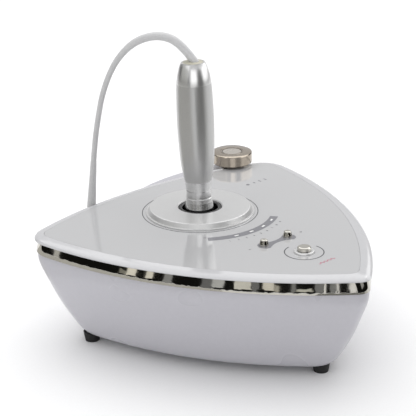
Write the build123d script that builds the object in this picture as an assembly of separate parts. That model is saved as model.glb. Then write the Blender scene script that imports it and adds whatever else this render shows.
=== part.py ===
"""Desktop radio-frequency skin-therapy console with a corded handpiece and a spare electrode head.

Millimetres, +Z up, the floor at Z = 0. The nose points to -Y and the cord leaves at the rear left.
The socket axis is at X = 0, Y = SOCKET_Y, so that the console's box is centred on the origin.
"""
from build123d import *
import math
import os

os.makedirs("parts", exist_ok=True)
UPWARDS = (Align.CENTER, Align.CENTER, Align.MIN)

# ---------------------------------------------------------------- driving dimensions
# Plan of the console: a triangle with bowed sides and rounded corners.
NOSE_REACH = 175.2        # socket axis forward to the sharp nose corner
CORNER_REACH = 52.1       # socket axis back to the sharp rear corners
HALF_SPAN = 125.4         # centre plane to each sharp rear corner
SIDE_BOW = 28.2
BACK_BOW = 23.9
NOSE_R = 9.7
CORNER_R = 24.0
RIM_NOSE_R = 8.0          # the same corners at the panel's edge, inside the border
RIM_CORNER_R = 10.0
SOCKET_Y = (NOSE_REACH - CORNER_REACH - 35.8) / 2

# Heights above the floor.
PANEL_Z = 87.0            # glossy face of the control panel
BODY_Z = 7.3              # underside of the lower housing, on its feet
EDGE_DROP = 2.6           # how far the border falls from the panel to its lip
LIP_H = 0.5               # upright lip of the border
SHADOW_GAP = 0.5          # between the lip and the chrome band
BAND_H = 8.6

# Border, panel and walls.
BORDER_W = 8.65
# The border's rounded fall: share of its width in from the lip, share of its rise.
BORDER_CROWN = ((0.0, 0.0), (0.13, 0.34), (0.53, 0.76), (1.0, 1.0))
PANEL_T = 2.0
DECK_T = 2.5
WALL = 2.6
FLOOR_T = 3.0
BAND_INSET = 0.6
BAND_T = 4.2
# The chrome band leans in towards its top: share of its height, share of its lean.
BAND_LEAN = 2.4
BAND_CROWN = ((0.0, 0.0), (0.3, 0.2), (0.65, 0.58), (1.0, 1.0))
SKIRT_INSET = 5.0
SKIRT_T = 2.5
SKIRT_H = 11.5

# How far the lower housing's side is inside the lip, at shares of its height from the top down.
SIDE_SHARES = (0.0, 0.22, 0.44, 0.66, 0.86, 0.96, 1.0)
SIDE_INSETS = (1.8, 3.6, 8.5, 14.0, 20.0, 23.8, 26.5)

# Socket that holds the handpiece.
ESC_TOP_R = 38.0
ESC_SLOPE = 3.6           # the disc's bevel, seen from above
ESC_H = 4.6
ESC_FLANGE_H = 1.2
LINER_W = 3.3             # the black liner's ring, between the head and the disc
CUP_WALL = 1.6
CUP_FLOOR_T = 2.4
LINER_LOW = 0.6
LINER_SHOULDER = 2.6
LINER_HIGH = 4.1

# Handpiece.
HEAD_R = 12.0
HEAD_CLEAR = 1.4          # head in the liner, radial
HEAD_DEPTH = 38.0         # electrode face below the panel
HANDLE_TOP = 117.4        # tail cap above the panel
TAIL_H = 15.9
BUSH_R = 7.7
NECK_SEAM = 25.5          # barrel to neck sleeve, above the panel
COLLAR_SEAM = 12.6        # neck sleeve to head collar, above the panel
TAIL_SEAM = HANDLE_TOP - TAIL_H
# Outside radii of the barrel and the neck at shares of their length from the bottom.
BARREL_SHAPE = ((0.0, 10.25), (0.08947, 11.65), (0.17105, 12.55), (0.31579, 13.3), (0.55921, 13.95),
                (0.82237, 13.75), (1.0, 13.2))
NECK_SHAPE = ((0.0, 9.75), (0.34109, 9.5), (0.71318, 9.8), (1.0, 10.15))
TAIL = ((13.15, TAIL_SEAM), (12.5, HANDLE_TOP - 11.2), (11.3, HANDLE_TOP - 6.2), (10.0, HANDLE_TOP - 2.2),
        (9.1, HANDLE_TOP - 0.4))
BARREL_BORE = 9.6
BARREL_STEP_Z = NECK_SEAM + 11.5
NECK_BORE = 7.2
NECK_GROOVE = 0.43411     # the same share, for the groove
GROOVE_DEPTH = 0.35
GROOVE_W = 0.7
COLLAR_BORE = 6.1
SPIGOT_L = 6.0
BUSH_SINK = 4.0
HANDLE_BOARD_W = 14.0
HEAD_TOP = -3.0
HEAD_WALL = 1.6
NOSE_T = 3.0
RING_OUT = HEAD_R - 1.6
RING_IN = RING_OUT - 2.4
RING_H = 2.4
CENTRE_R = 3.6
PIN_R = 0.8
PIN_X = 5.8
STUD_SINK = 6.0
STUD_RISE = 8.0
PIVOT_DROP = 14.0         # the handle leans about this depth in the socket
HANDLE_LEAN = 1.4         # degrees, towards the cord
LIFT_CLEAR = 0.3          # between pieces that part by hand

# Buttons and indicator.
BUTTON_X = 11.8
BUTTON_REACH = 83.2
BUTTON_R = 3.4
BUTTON_TOP_R = 2.75
BUTTON_H = 4.6
BUTTON_TRAVEL = 1.0
POWER_REACH = 112.0
POWER_R = 5.0
POWER_H = 4.4
POWER_TRAVEL = 1.5
POWER_STEM_R = 3.6
FLANGE_T = 1.4
FLANGE_GROW = 1.2
COLLAR_R = 7.6
COLLAR_H = 1.4
LED_R = 57.6
LED_ANGLES = (-13.5, 0.0, 13.5, 27.5)
LED_SIZE = (3.4, 1.5)

# Spare head and the rear rack that holds it.
SPARE_X = HALF_SPAN - 33.0
SPARE_BACK = CORNER_REACH + 12.9
SPARE_R = 16.9
SPARE_T = 9.4
SPARE_GAP = 1.8           # head above the panel's level
STEM_R = 8.4
STEM_L = 20.0
CORE_R = 7.7
CORE_GAP = 0.6
CORE_SEAT = 4.0           # depth of the spare head's insulated pocket
RACK_DROP = 3.2           # shelf's face below the panel
RACK_T = 5.0
RACK_R = 160.0
RACK_BULGE_X = 50.0
RACK_BULGE = CORNER_REACH + BACK_BOW + 9.4
RACK_ENDS = (-9.0, HALF_SPAN - 18.4)
RACK_CORNER_R = 7.0
RACK_RIM_R = 1.6
WELL_WALL = 2.2
RIB_X = (18.0, 60.0)
RIB_W = 9.0
RIB_DEPTH = 18.0
RIB_SCREW_DROP = 8.8      # rack's screws below the housing's waist
RACK_SCREW_L = 9.0

# Cord, plug and rear socket.
CORD_D = 5.0
CORD_HEADING = (-0.503, 0.864)
PLUG_DROP = 19.8          # plug's axis below the housing's waist
PLUG_H = 7.0              # plug's top above its axis
PLUG_R = 4.8
PLUG_PROUD = 7.0          # plug's upright axis behind the lip
BOOT_BASE_R = 4.2
JACK_X = -46.6
JACK_R = 6.0
JACK_L = 16.0
JACK_FLANGE_R = 8.2
JACK_FLANGE_T = 2.0
JACK_PROUD = 3.8
JACK_BOSS_R = 9.5
JACK_BOSS_L = 11.0
NUT_R = 8.6
NUT_T = 2.6

# Mains inlet.
INLET_X = 35.0
INLET_Z = 33.0
INLET_FLANGE = (30.0, 18.0)
INLET_BODY = (22.0, 13.0, 19.0)
INLET_SLOT = (16.0, 8.6, 12.0)
INLET_PIN_X = 4.3
INLET_PIN_R = 1.2
INLET_PIN_L = 9.0
INLET_FLANGE_T = 1.8
PAD_GROW = 3.0            # housing's pad around the inlet's flange

# Feet, pillars and boards.
FRONT_FOOT = NOSE_REACH - 45.2
REAR_FOOT = (HALF_SPAN - 35.4, CORNER_REACH - 28.1)
FOOT_TOP_R = 6.6
FOOT_R = 5.4
PILLARS = ((30.0, 77.2 - NOSE_REACH), (HALF_SPAN - 53.4, CORNER_REACH - 40.1))
PILLAR_R = 4.5
PILLAR_SCREW_L = 14.0
FOOT_BOSS_R = 4.2
FOOT_BOSS_H = 6.0
FOOT_SCREW_Z = 1.6
SCREW_R = 1.5
SCREW_HEAD_R = 3.0
SCREW_SINK = 1.8
BOARD_SCREW_L = 7.0
BOARD_T = 1.6
MAIN_BOARD = (104.0, 62.0)
MAIN_BOARD_Y = CORNER_REACH - 74.1
MAIN_BOARD_RISE = 13.7    # board above the inside floor
STANDOFF_R = 3.2
STANDOFF_INSET = 4.0
DISPLAY_BOARD = (66.0, 74.0)
DISPLAY_Y = -(BUTTON_REACH + 2.8)
DISPLAY_DROP = 6.4        # board below the deck
DISPLAY_CLEAR = 1.0       # board to the skirt
DISPLAY_POST_R = 2.2
SWITCH_SIZE = (6.0, 6.0)
PLUNGER_R = 1.5
LED_H = 1.2
LED_GAP = 0.4
SUPPLY_PLACE = (35.0, CORNER_REACH - 23.1)
SUPPLY_SIZE = (50.0, 24.0)
SUPPLY_H = 22.0
SINK_X = 34.0
SINK_SIZE = (32.0, 34.0)
SINK_BASE_T = 3.0
FIN_COUNT = 7
FIN_PITCH = 4.6
FIN_T = 1.6
FIN_H = 14.0
CORE_X = 34.0
CORE_SIZE = (30.0, 22.0)
CORE_H = 17.0
WINDING_R = 12.5
VENT_SLOTS = 9
VENT_PITCH = 6.0
VENT_SIZE = (2.6, 26.0)
VENT_Y = MAIN_BOARD_Y - 48.0

# Clearances.
SLIDE_CLEAR = 0.08        # button in its hole, radial
SEAT_CLEAR = 0.15         # panel, band and liners in their seats
BOLT_CLEAR = 0.25         # screw in a plain hole, radial
THREAD_CLEAR = 0.05       # screw, bush or spigot in its own bore, radial
STOP_GAP = 0.2            # button's flange below the deck
SWITCH_GAP = 0.1          # pressed button to its switch

# ---------------------------------------------------------------- derived values
ESC_FLANGE_R = ESC_TOP_R + ESC_SLOPE
LINER_BORE = HEAD_R + HEAD_CLEAR
SOCKET_R = LINER_BORE + LINER_W
LIP_TOP = PANEL_Z - EDGE_DROP
LIP_BOTTOM = LIP_TOP - LIP_H
BAND_TOP = LIP_BOTTOM - SHADOW_GAP
WAIST_Z = BAND_TOP - BAND_H
DECK_TOP = PANEL_Z - PANEL_T
DECK_BOTTOM = DECK_TOP - DECK_T
FLOOR_Z = BODY_Z + FLOOR_T
FOOT_SCREW_TIP = FLOOR_Z + FOOT_BOSS_H - 2.5
MAIN_BOARD_Z = FLOOR_Z + MAIN_BOARD_RISE
PLUG_Z = WAIST_Z - PLUG_DROP
BOOT_Z = PLUG_Z + PLUG_H
RIB_SCREW_Z = WAIST_Z - RIB_SCREW_DROP
RIB_Z = RIB_SCREW_Z - 6.0
BODY_H = WAIST_Z - BODY_Z
CUP_R = SOCKET_R - SEAT_CLEAR
CUP_BORE = CUP_R - CUP_WALL
CUP_FLOOR = PANEL_Z - HEAD_DEPTH - 1.0
SPARE_Z = PANEL_Z + SPARE_GAP
WELL_BORE = STEM_R + LIFT_CLEAR
WELL_R = WELL_BORE + WELL_WALL
WELL_FLOOR = SPARE_Z - STEM_L - LIFT_CLEAR
RACK_TOP = PANEL_Z - RACK_DROP
DISPLAY_Z = DECK_BOTTOM - DISPLAY_DROP

SOCKET = Pos(0, SOCKET_Y, 0)
SPARE = Pos(SPARE_X, SOCKET_Y + SPARE_BACK, 0)
PIVOT = Vector(0, SOCKET_Y, PANEL_Z - PIVOT_DROP)
HEADING = Vector(*CORD_HEADING).normalized()


def keep(node, *solids):
    """Write one sub-part; several solids stay separate in one file."""
    shape = solids[0] if len(solids) == 1 else Compound(children=list(solids))
    shape.label = node
    export_step(shape, f"parts/{node}.step")


# ---------------------------------------------------------------- plan outline
def bowed_side(start, end, bow):
    """Centre and radius of the arc from start to end that bows to the right of its chord."""
    chord = end - start
    radius = (chord.length ** 2 / 4 + bow ** 2) / (2 * bow)
    outward = Vector(chord.Y, -chord.X).normalized()
    return (start + end) / 2 - outward * (radius - bow), radius


def corner_centre(c1, r1, c2, r2, near):
    """Where two circles meet, on the side of near."""
    line = c2 - c1
    along = (r1 ** 2 - r2 ** 2 + line.length ** 2) / (2 * line.length)
    across = math.sqrt(max(r1 ** 2 - along ** 2, 0))
    unit = line.normalized()
    side = Vector(-unit.Y, unit.X)
    meets = [c1 + unit * along + side * across, c1 + unit * along - side * across]
    return min(meets, key=lambda point: (point - near).length)


def arc_between(centre, radius, start_from, end_from):
    """The arc about centre whose ends point at, or away from, the two given centres."""
    first = (start_from - centre).normalized()
    last = (end_from - centre).normalized()
    middle = (first + last).normalized()
    return ThreePointArc(*(centre + d * radius for d in (first, middle, last)))


def outline(inset=0.0, rim_share=0.0):
    """The console's plan as a face at Z = 0, moved inwards by inset. rim_share 1 is the panel's edge."""
    nose = Vector(0, SOCKET_Y - NOSE_REACH)
    right = Vector(HALF_SPAN, SOCKET_Y + CORNER_REACH)
    left = Vector(-HALF_SPAN, SOCKET_Y + CORNER_REACH)
    nose_r = NOSE_R + 0.2 * inset * (1 - rim_share) + (RIM_NOSE_R - NOSE_R) * rim_share
    corner_r = CORNER_R - 0.1 * inset * (1 - rim_share) + (RIM_CORNER_R - CORNER_R) * rim_share
    sides = [bowed_side(nose, right, SIDE_BOW), bowed_side(right, left, BACK_BOW),
             bowed_side(left, nose, SIDE_BOW)]
    sides = [(centre, radius - inset) for centre, radius in sides]
    corners = []
    meetings = ((2, 0, nose, nose_r), (0, 1, right, corner_r), (1, 2, left, corner_r))
    for before, after, near, r in meetings:
        (c1, r1), (c2, r2) = sides[before], sides[after]
        corners.append((corner_centre(c1, r1 - r, c2, r2 - r, near), r))
    arcs = []
    for i, (centre, radius) in enumerate(sides):
        ends = [corners[i][0], corners[(i + 1) % 3][0]]
        arcs.append(arc_between(centre, radius, *ends))
        corner, r = corners[(i + 1) % 3]
        following = sides[(i + 1) % 3][0]
        arcs.append(arc_between(corner, r, corner * 2 - centre, corner * 2 - following))
    return make_face(arcs)


def slab(inset, low, high, rim_share=0.0):
    """The plan outline as a solid between two heights."""
    return extrude(Pos(0, 0, low) * outline(inset, rim_share), high - low)


def side_inset(z):
    """How far the lower housing's outer face is inside the lip at height z."""
    share = min(max((WAIST_Z - z) / BODY_H, 0), 1)
    for i in range(len(SIDE_SHARES) - 1):
        low, high = SIDE_SHARES[i], SIDE_SHARES[i + 1]
        if share <= high:
            part = (share - low) / (high - low)
            return SIDE_INSETS[i] + part * (SIDE_INSETS[i + 1] - SIDE_INSETS[i])
    return SIDE_INSETS[-1]


def hull_solid(thinner, low, high):
    """The lower housing's outside as a solid between two heights, moved inwards by thinner."""
    between = [WAIST_Z - s * BODY_H for s in SIDE_SHARES]
    heights = [high] + [z for z in between if low + 2 < z < high - 1] + [low]
    return loft([Pos(0, 0, z) * outline(side_inset(z) + thinner) for z in heights])


def post(x, y, radius, low, high):
    """An upright round bar about a point given from the socket axis."""
    return Pos(x, SOCKET_Y + y, low) * Cylinder(radius, high - low, align=UPWARDS)


def block(x, y, low, size, height):
    """An upright box about a point given from the socket axis."""
    return Pos(x, SOCKET_Y + y, low) * Box(*size, height, align=UPWARDS)


def turned(points):
    """A ring or bar turned about the Z axis from (radius, height) points, closed by a line."""
    face = make_face(Polyline(*[(r, 0, z) for r, z in points], close=True))
    return revolve(face, Axis.Z)


def both_sides(places):
    return [(side * x, y) for x, y in places for side in (-1, 1)]


FEET = [(0.0, -FRONT_FOOT)] + both_sides([REAR_FOOT])
PILLAR_PLACES = both_sides(PILLARS)
well_clearance = post(SPARE_X, SPARE_BACK, WELL_R + LIFT_CLEAR, WELL_FLOOR - CUP_FLOOR_T - 1,
                      PANEL_Z + 1)


# ---------------------------------------------------------------- housings
def back_y(x, inset):
    """Y of the console's rear face at x, from its plan."""
    centre, radius = bowed_side(Vector(HALF_SPAN, SOCKET_Y + CORNER_REACH),
                                Vector(-HALF_SPAN, SOCKET_Y + CORNER_REACH), BACK_BOW)
    return centre.Y + math.sqrt((radius - inset) ** 2 - x ** 2)


def rear_bar(x, z, radius, front, back):
    """A round bar along Y between two Y values."""
    return Pos(x, front, z) * Rot(-90, 0, 0) * Cylinder(radius, back - front,
                                                        align=UPWARDS)


# Faces at the rear, from the plan.
JACK_FACE = back_y(JACK_X, side_inset(PLUG_Z)) + JACK_PROUD
PLUG_Y = back_y(JACK_X, 0) + PLUG_PROUD
INLET_FACE = back_y(INLET_X - INLET_FLANGE[0] / 2, side_inset(INLET_Z + INLET_FLANGE[1] / 2)) + 0.8
POST_X, POST_REACH = (size / 2 - STANDOFF_INSET for size in MAIN_BOARD)
BOARD_POSTS = both_sides([(POST_X, MAIN_BOARD_Y - POST_REACH), (POST_X, MAIN_BOARD_Y + POST_REACH)])
DISPLAY_POSTS = both_sides([(27.0, DISPLAY_Y + 26.0), (22.0, DISPLAY_Y - 30.0)])


def make_lower_housing():
    outer = hull_solid(0, BODY_Z, WAIST_Z)
    hollow = hull_solid(WALL, FLOOR_Z, WAIST_Z)
    hollow += slab(side_inset(WAIST_Z) + WALL, WAIST_Z - 0.3, WAIST_Z + 1)
    pad_x, pad_z = (s + PAD_GROW for s in INLET_FLANGE)
    pad_depth = INLET_BODY[2] - 4.0
    pad = Pos(INLET_X, INLET_FACE - pad_depth / 2, INLET_Z) * Box(pad_x, pad_depth, pad_z)
    jack_boss = rear_bar(JACK_X, PLUG_Z, JACK_BOSS_R, JACK_FACE - JACK_BOSS_L, JACK_FACE)
    shell = outer - hollow + pad + jack_boss
    for x, y in FEET:
        shell += post(x, y, FOOT_BOSS_R, BODY_Z, FLOOR_Z + FOOT_BOSS_H)
    for x, y in BOARD_POSTS:
        shell += post(x, y, STANDOFF_R, BODY_Z + 1, MAIN_BOARD_Z)
    holes = [rear_bar(JACK_X, PLUG_Z, JACK_R + SEAT_CLEAR, JACK_FACE - 20, JACK_FACE + 1)]
    body_w, body_h, body_d = INLET_BODY
    holes.append(Pos(INLET_X, INLET_FACE - body_d / 2, INLET_Z)
                 * Box(body_w + 2 * SEAT_CLEAR, body_d + 10, body_h + 2 * SEAT_CLEAR))
    for x, y in FEET:
        holes.append(post(x, y, SCREW_R + THREAD_CLEAR, BODY_Z - 1, FOOT_SCREW_TIP + 1.0))
    for x, y in BOARD_POSTS:
        holes.append(post(x, y, SCREW_R + THREAD_CLEAR, MAIN_BOARD_Z - 8, MAIN_BOARD_Z + 1))
    for x, y in PILLAR_PLACES:
        holes.append(post(x, y, SCREW_R + BOLT_CLEAR, BODY_Z - 1, FLOOR_Z + 1))
        holes.append(post(x, y, SCREW_HEAD_R + BOLT_CLEAR, BODY_Z - 1, BODY_Z + SCREW_SINK))
    for i in range(VENT_SLOTS):
        x = (i - (VENT_SLOTS - 1) / 2) * VENT_PITCH
        holes.append(block(x, VENT_Y, BODY_Z - 1, VENT_SIZE, FLOOR_T + 2))
    for x in RIB_X:
        face = back_y(x, side_inset(RIB_SCREW_Z))
        holes.append(rear_bar(x, RIB_SCREW_Z, SCREW_R + BOLT_CLEAR, face - WALL - 4, face + 2))
    return shell - holes - well_clearance


def make_chrome_band():
    outside = loft([Pos(0, 0, WAIST_Z + rise * BAND_H) * outline(BAND_INSET + share * BAND_LEAN)
                    for rise, share in BAND_CROWN])
    return outside - slab(BAND_INSET + BAND_T, WAIST_Z - 1, BAND_TOP + 1) - well_clearance


def led_block(angle, grow, low, high):
    """One light window's bar, standing on the indicator arc at an angle from the nose."""
    spot = SOCKET * Rot(0, 0, angle) * Pos(0, -LED_R, low)
    size = (LED_SIZE[0] + 2 * grow, LED_SIZE[1] + 2 * grow, high - low)
    return spot * Box(*size, align=UPWARDS)


def make_upper_housing():
    body = slab(0, LIP_BOTTOM, LIP_TOP)
    body += loft([Pos(0, 0, LIP_TOP + rise * EDGE_DROP) * outline(share * BORDER_W, share)
                  for share, rise in BORDER_CROWN])
    body += slab(SKIRT_INSET, DECK_BOTTOM - SKIRT_H + DECK_T, LIP_BOTTOM + 0.1)
    body -= slab(SKIRT_INSET + SKIRT_T, 0, DECK_BOTTOM)
    body -= slab(BORDER_W, DECK_TOP, PANEL_Z + 1, 1)
    for x, y in PILLAR_PLACES:
        body += post(x, y, PILLAR_R, FLOOR_Z + 0.2, DECK_BOTTOM + 0.5)
    for x, y in DISPLAY_POSTS:
        body += post(x, y, DISPLAY_POST_R, DISPLAY_Z + BOARD_T, DECK_BOTTOM + 0.5)
    holes = [post(0, 0, SOCKET_R, DECK_BOTTOM - 1, PANEL_Z + 1)]
    for x, y in PILLAR_PLACES:
        holes.append(post(x, y, SCREW_R + THREAD_CLEAR, FLOOR_Z - 1, FLOOR_Z + PILLAR_SCREW_L + 2))
    for x in (-BUTTON_X, BUTTON_X):
        holes.append(post(x, -BUTTON_REACH, BUTTON_R + SLIDE_CLEAR, DECK_BOTTOM - 1, PANEL_Z))
    holes.append(post(0, -POWER_REACH, POWER_STEM_R + SLIDE_CLEAR, DECK_BOTTOM - 1, PANEL_Z))
    for angle in LED_ANGLES:
        holes.append(led_block(angle, SEAT_CLEAR, DECK_BOTTOM - 1, PANEL_Z))
    return body - holes - well_clearance


def make_control_panel():
    panel = slab(BORDER_W + SEAT_CLEAR, DECK_TOP, PANEL_Z, 1)
    holes = [post(0, 0, SOCKET_R, 0, PANEL_Z + 1)]
    for x in (-BUTTON_X, BUTTON_X):
        holes.append(post(x, -BUTTON_REACH, BUTTON_R + SLIDE_CLEAR, 0, PANEL_Z + 1))
    holes.append(post(0, -POWER_REACH, POWER_STEM_R + SLIDE_CLEAR, 0, PANEL_Z + 1))
    for angle in LED_ANGLES:
        holes.append(led_block(angle, SEAT_CLEAR, 0, PANEL_Z + 1))
    return panel - holes - well_clearance


# ---------------------------------------------------------------- socket
def make_escutcheon():
    top = PANEL_Z + ESC_H
    step = PANEL_Z + ESC_FLANGE_H
    return SOCKET * turned([(SOCKET_R, PANEL_Z), (ESC_FLANGE_R, PANEL_Z), (ESC_FLANGE_R, step - 0.4),
                            (ESC_FLANGE_R - 0.4, step), (ESC_FLANGE_R - 1.4, step),
                            (ESC_TOP_R + 0.6, top - 0.35), (ESC_TOP_R, top - 0.08), (ESC_TOP_R - 0.6, top),
                            (SOCKET_R + 0.8, top), (SOCKET_R, top - 0.8)])


def make_liner():
    outer = SOCKET_R - SEAT_CLEAR
    middle = (outer + LINER_BORE) / 2
    low, shoulder, high = PANEL_Z + LINER_LOW, PANEL_Z + LINER_SHOULDER, PANEL_Z + LINER_HIGH
    path = [Line((LINER_BORE, 0, low), (outer, 0, low)), Line((outer, 0, low), (outer, 0, shoulder)),
            ThreePointArc((outer, 0, shoulder), (middle, 0, high), (LINER_BORE, 0, shoulder)),
            Line((LINER_BORE, 0, shoulder), (LINER_BORE, 0, low))]
    return SOCKET * revolve(make_face(path), Axis.Z)


def make_cup():
    low = CUP_FLOOR - CUP_FLOOR_T
    cup = post(0, 0, CUP_R, low, PANEL_Z + 0.4) + post(0, 0, CUP_R + 6.0, DECK_BOTTOM - 3.0, DECK_BOTTOM)
    return cup - post(0, 0, CUP_BORE, CUP_FLOOR, PANEL_Z + 1)


# ---------------------------------------------------------------- handpiece
def along(shape, low, high):
    """Points of (radius, height) from shares of the length between two heights."""
    return [(r, low + share * (high - low)) for share, r in shape]


BARREL = along(BARREL_SHAPE, NECK_SEAM, TAIL_SEAM)
NECK = along(NECK_SHAPE, COLLAR_SEAM, NECK_SEAM)
NECK_GROOVE_Z = COLLAR_SEAM + NECK_GROOVE * (NECK_SEAM - COLLAR_SEAM)


def above_panel(points):
    return [(r, z + PANEL_Z) for r, z in points]


def smooth_turned(profile, bore):
    """A turned shell whose outside is a smooth line through profile, around a straight bore."""
    points = [(r, 0, z) for r, z in above_panel(profile)]
    low, high = points[0][2], points[-1][2]
    edges = [Spline(*points), Line(points[-1], (bore, 0, high)), Line((bore, 0, high), (bore, 0, low)),
             Line((bore, 0, low), points[0])]
    return revolve(make_face(edges), Axis.Z)


def bar(radius, low, high):
    """A round bar on the handpiece's own axis, between two heights above the panel."""
    return Pos(0, 0, PANEL_Z + low) * Cylinder(radius, high - low, align=UPWARDS)


def leaning(solid):
    """Stand an upright handpiece part in the socket, leaning towards the cord about PIVOT."""
    side = Vector(-HEADING.Y, HEADING.X, 0)
    upright = SOCKET * solid
    return upright.rotate(Axis(PIVOT, side), HANDLE_LEAN)


def make_barrel():
    body = smooth_turned(BARREL, NECK_BORE)
    return body - bar(BARREL_BORE, BARREL_STEP_Z, HANDLE_TOP)


def make_tail_cap():
    bore = BUSH_R + THREAD_CLEAR
    rim = bar(TAIL[-1][0] - 0.25, HANDLE_TOP - 0.4, HANDLE_TOP) - bar(bore, TAIL_SEAM, HANDLE_TOP + 1)
    spigot = bar(BARREL_BORE - THREAD_CLEAR, TAIL_SEAM - SPIGOT_L, TAIL_SEAM) - bar(bore, 0, HANDLE_TOP)
    return smooth_turned(TAIL, bore) + rim + spigot


def make_bush():
    low, dome = TAIL_SEAM - BUSH_SINK, HANDLE_TOP + 0.5
    return turned(above_panel([(0, low), (BUSH_R, low), (BUSH_R, HANDLE_TOP - 0.1),
                               (BUSH_R - 0.5, HANDLE_TOP + 0.2), (BUSH_R - 3.0, dome), (0, dome)]))


def make_neck():
    groove = bar(NECK[0][0] + 2, NECK_GROOVE_Z - GROOVE_W / 2, NECK_GROOVE_Z + GROOVE_W / 2)
    groove -= bar(NECK[1][0] - GROOVE_DEPTH, NECK_GROOVE_Z - GROOVE_W, NECK_GROOVE_Z + GROOVE_W)
    return smooth_turned(NECK, NECK_BORE) - groove


def make_collar():
    edge = COLLAR_SEAM - 0.5
    wide, slim = HEAD_R - 1.0, NECK[0][0] - 0.3
    return turned(above_panel([(COLLAR_BORE, HEAD_TOP), (wide - 0.4, HEAD_TOP), (wide, HEAD_TOP + 0.4),
                               (wide, 4.2), (wide - 0.3, 5.6), (slim + 0.65, 8.8), (slim + 0.35, edge - 0.4),
                               (slim, edge), (slim, COLLAR_SEAM), (COLLAR_BORE, COLLAR_SEAM)]))


def make_head_shell():
    low = NOSE_T - HEAD_DEPTH
    shell = turned(above_panel([(COLLAR_BORE, HEAD_TOP), (HEAD_R - 0.8, HEAD_TOP),
                                (HEAD_R, HEAD_TOP - 0.8), (HEAD_R, low), (COLLAR_BORE, low)]))
    return shell - bar(HEAD_R - HEAD_WALL, low - 1, HEAD_TOP - 8.0)


def make_head_nose():
    face = NOSE_T - HEAD_DEPTH
    nose = bar(HEAD_R - 0.1, -HEAD_DEPTH + 0.4, face) + bar(HEAD_R - HEAD_WALL - 0.1, face, face + 6)
    nose -= bar(RING_OUT + THREAD_CLEAR, -HEAD_DEPTH - 1, -HEAD_DEPTH + RING_H)
    nose += bar(RING_IN - THREAD_CLEAR, -HEAD_DEPTH + 0.4, -HEAD_DEPTH + RING_H)
    return nose - bar(CENTRE_R + THREAD_CLEAR, -HEAD_DEPTH - 1, -HEAD_DEPTH + 5)


def make_handle_board():
    low, high = BARREL_STEP_Z + 7.0, TAIL_SEAM - 21.5
    return Pos(0, 0, PANEL_Z + low) * Box(HANDLE_BOARD_W, BOARD_T, high - low, align=UPWARDS)


def make_contact_pins():
    top = HEAD_TOP - STUD_SINK - 0.2
    return [Pos(x, 0, 0) * bar(PIN_R, NOSE_T - HEAD_DEPTH + 6, top) for x in (-PIN_X / 2, PIN_X / 2)]


# ---------------------------------------------------------------- spare head and rack
def make_spare_shell():
    top = SPARE_Z + SPARE_T
    seat = top - CORE_SEAT
    return SPARE * turned([(0, SPARE_Z), (SPARE_R - 0.7, SPARE_Z), (SPARE_R, SPARE_Z + 0.7),
                           (SPARE_R, top - 0.9), (SPARE_R - 0.3, top - 0.3), (SPARE_R - 1.0, top),
                           (CORE_R + CORE_GAP, top), (CORE_R + CORE_GAP, seat), (0, seat)])


def make_spare_insulator():
    top = SPARE_Z + SPARE_T
    ring = post(SPARE_X, SPARE_BACK, CORE_R + CORE_GAP - THREAD_CLEAR, top - CORE_SEAT, top - 0.35)
    return ring - post(SPARE_X, SPARE_BACK, CORE_R + THREAD_CLEAR, top - CORE_SEAT + 0.8, top + 1)


def make_rack():
    edge = Pos(RACK_BULGE_X, SOCKET_Y + RACK_BULGE - RACK_R, RACK_TOP - RACK_T) * Cylinder(
        RACK_R, RACK_T, align=UPWARDS)
    left, right = RACK_ENDS
    span = (right - left, 80)
    shelf = edge & block((left + right) / 2, RACK_BULGE - 30, RACK_TOP - RACK_T - 1, span, RACK_T + 2)
    body_space = slab(-LIFT_CLEAR, WAIST_Z - 0.01, PANEL_Z)
    rack = shelf - body_space
    rear = SOCKET_Y + RACK_BULGE
    corner = [e for e in rack.edges().filter_by(Axis.Z)
              if e.center().X > right - 1 and e.center().Y > rear - 17.4]
    rack = fillet(corner, RACK_CORNER_R)
    rim = [e for e in rack.edges().group_by(Axis.Z)[-1] if e.length > 90 and e.center().Y > rear - 7.4]
    rack = fillet(rim, RACK_RIM_R)
    for x in RIB_X:
        rib = Pos(x, back_y(x, 0) - 2, RIB_Z) * Box(RIB_W, RIB_DEPTH, RACK_TOP - RACK_T - RIB_Z + 0.5,
                                                   align=UPWARDS)
        rib -= hull_solid(-SEAT_CLEAR, BODY_Z, WAIST_Z)
        face = back_y(x, side_inset(RIB_SCREW_Z))
        rib -= rear_bar(x, RIB_SCREW_Z, SCREW_R + THREAD_CLEAR, face - 1, face + 7)
        rack += rib - body_space
    rack += post(SPARE_X, SPARE_BACK, WELL_R, WELL_FLOOR - CUP_FLOOR_T, RACK_TOP)
    return rack - post(SPARE_X, SPARE_BACK, WELL_BORE, WELL_FLOOR, PANEL_Z)


# ---------------------------------------------------------------- buttons
def make_button(x):
    """A domed chrome key on a stem, with a flange that stops it under the deck."""
    top = PANEL_Z + BUTTON_H
    flange_top = DECK_BOTTOM - STOP_GAP
    waist = PANEL_Z + BUTTON_TRAVEL + STOP_GAP
    cap = turned([(0, flange_top), (BUTTON_R, flange_top), (BUTTON_R, waist), (BUTTON_TOP_R, top - 0.7),
                  (BUTTON_TOP_R - 0.45, top - 0.15), (BUTTON_TOP_R - 1.1, top), (0, top)])
    key = cap + Pos(0, 0, flange_top - FLANGE_T) * Cylinder(BUTTON_R + FLANGE_GROW, FLANGE_T,
                                                            align=UPWARDS)
    return Pos(x, SOCKET_Y - BUTTON_REACH, 0) * key


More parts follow.
